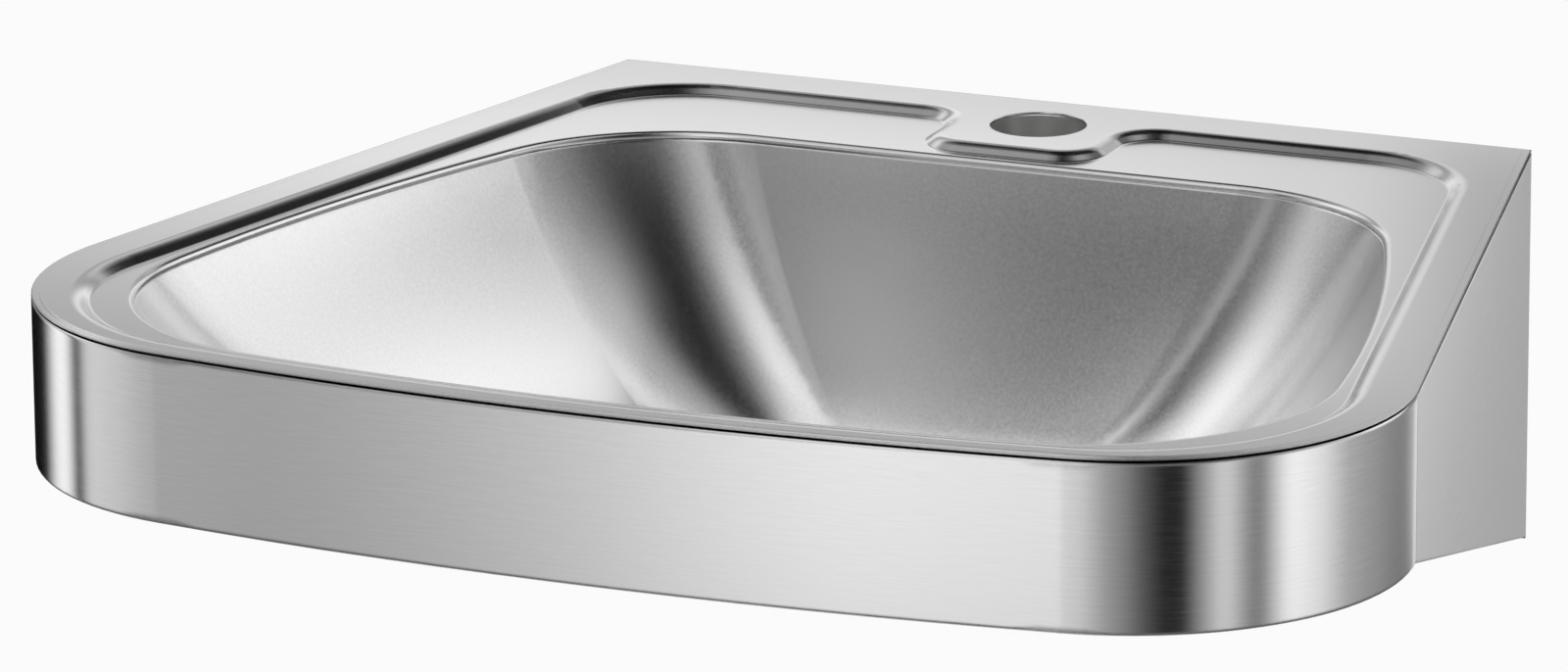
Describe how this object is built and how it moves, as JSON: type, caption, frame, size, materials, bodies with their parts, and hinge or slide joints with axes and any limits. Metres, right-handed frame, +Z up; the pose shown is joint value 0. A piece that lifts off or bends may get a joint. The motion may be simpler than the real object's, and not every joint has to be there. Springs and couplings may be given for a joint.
{
  "type": "hand basin",
  "caption": "Wall-hung stainless steel hand basin: a trapezoid deck with a bowed front, a shallow recess, a raised tap ledge, a deep bowl and tapering side cheeks.",
  "frame": {"origin": "midway between the wall bracket's fixing holes, in the plane of the wall", "axes": "+X to the user's right, +Y into the wall, +Z up"},
  "size_m": [0.4876, 0.429, 0.1445],
  "materials": {
    "satin_stainless": "satin, fine grain",
    "mill_stainless": "mill finish",
    "zinc_plated_steel": "zinc plated",
    "bright_fastener": "bright",
    "brass_washer": "bright",
    "damping_rubber": "matt",
    "polished_stainless": "polished",
    "waste_plastic": "matt",
    "seal_rubber": "matt"
  },
  "bodies": {
    "root": {"deck": "satin_stainless", "bowl": "satin_stainless", "apron": "satin_stainless", "right_cheek": "satin_stainless", "left_cheek": "satin_stainless", "seam_strips": "mill_stainless", "hanging_rail": "mill_stainless", "wall_bracket": "zinc_plated_steel", "locking_screws": "bright_fastener", "locking_nuts": "bright_fastener", "tap_plate": "mill_stainless", "damping_pad": "damping_rubber", "waste_strainer": "polished_stainless", "waste_upper_seal": "seal_rubber", "waste_body": "waste_plastic", "waste_lower_seal": "seal_rubber", "waste_screw": "bright_fastener", "earth_stud": "bright_fastener", "earth_washer": "brass_washer", "earth_nut": "bright_fastener"}
  },
  "joints": []
}
